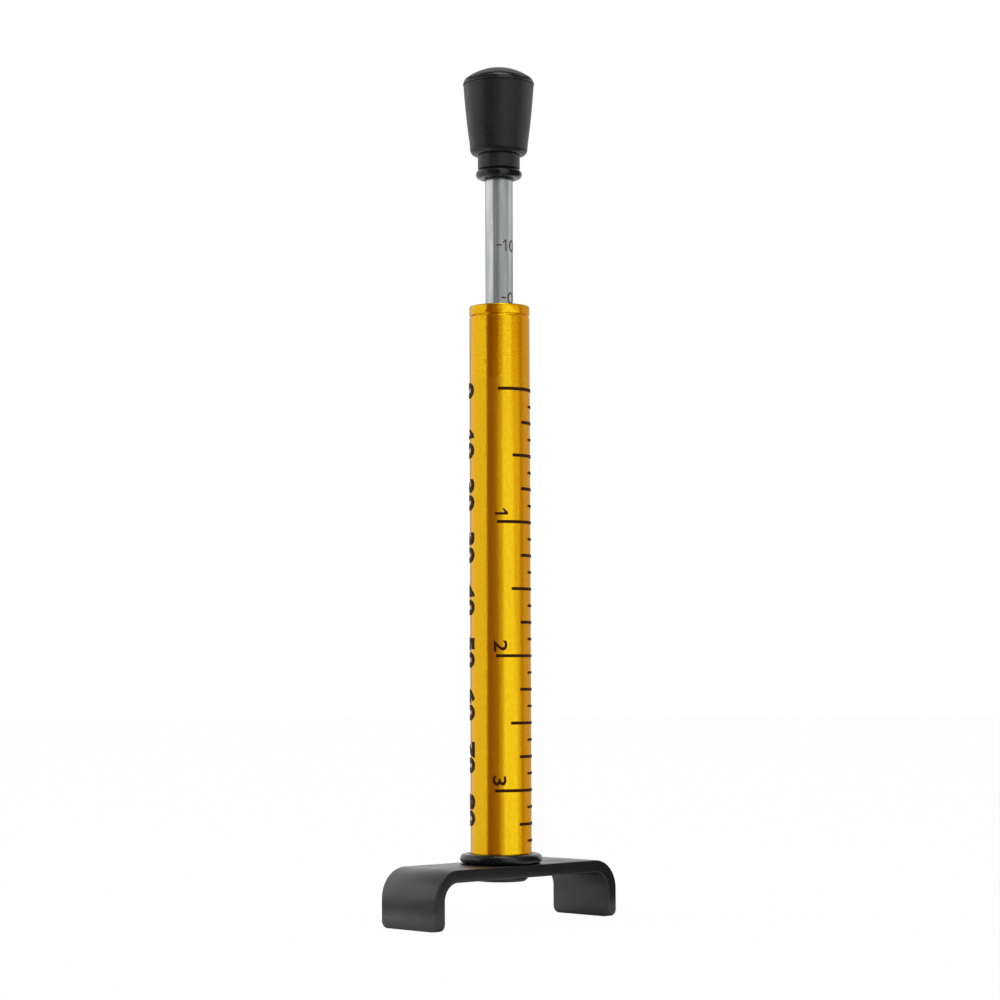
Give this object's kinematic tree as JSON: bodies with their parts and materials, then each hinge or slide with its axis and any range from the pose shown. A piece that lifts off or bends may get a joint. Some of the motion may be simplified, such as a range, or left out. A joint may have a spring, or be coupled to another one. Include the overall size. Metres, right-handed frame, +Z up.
{
  "type": "belt tension gauge",
  "caption": "Sprung plunger with a knob in a graduated gold tube on a U-shaped belt cradle, with a rubber ring to mark the force and another to mark the deflection.",
  "frame": {"origin": "on the plane where the cradle's flanges stand, under the tube's axis", "axes": "+Z up along the tube towards the knob, +X along the cradle's long side, +Y across the cradle"},
  "size_m": [0.0476, 0.0156, 0.1641],
  "materials": {
    "gold_anodised": "gold anodised, fine satin",
    "clear_film": "clear film with dark printed scale",
    "bright_steel": "bright drawn steel",
    "black_rubber": "smooth black rubber",
    "black_coating": "satin black powder coat",
    "black_plastic": "satin moulded plastic",
    "brass": "turned",
    "acetal": "white acetal"
  },
  "bodies": {
    "barrel": {"cradle": "black_coating", "cradle_screw": "black_coating", "bottom_plug": "gold_anodised", "body_tube": "gold_anodised", "scale_label": "clear_film", "top_cap": "gold_anodised", "guide_bush": "acetal", "spring_seat": "bright_steel", "force_spring": "bright_steel"},
    "follower": {"spring_washer": "bright_steel"},
    "plunger": {"retaining_clip": "bright_steel", "plunger_rod": "bright_steel", "knob_insert": "brass", "knob": "black_plastic"},
    "force_marker": {"force_o_ring": "black_rubber"},
    "deflection_marker": {"deflection_o_ring": "black_rubber"}
  },
  "joints": [
    {"name": "plunger_press", "type": "slide", "parent": "barrel", "child": "follower", "axis": [0, 0, -1], "range_m": [0, 0.01015], "stiffness_N_per_m": 4380, "springref_m": -0.0003, "deforming": ["force_spring"]},
    {"name": "knob_twist", "type": "hinge", "parent": "follower", "child": "plunger", "pos_m": [0, 0, 0.1], "axis": [0, 0, 1], "continuous": true},
    {"name": "force_marker_slide", "type": "slide", "parent": "plunger", "child": "force_marker", "axis": [0, 0, -1], "range_m": [0, 0.0146]},
    {"name": "deflection_marker_slide", "type": "slide", "parent": "barrel", "child": "deflection_marker", "axis": [0, 0, 1], "range_m": [0, 0.1022]}
  ]
}
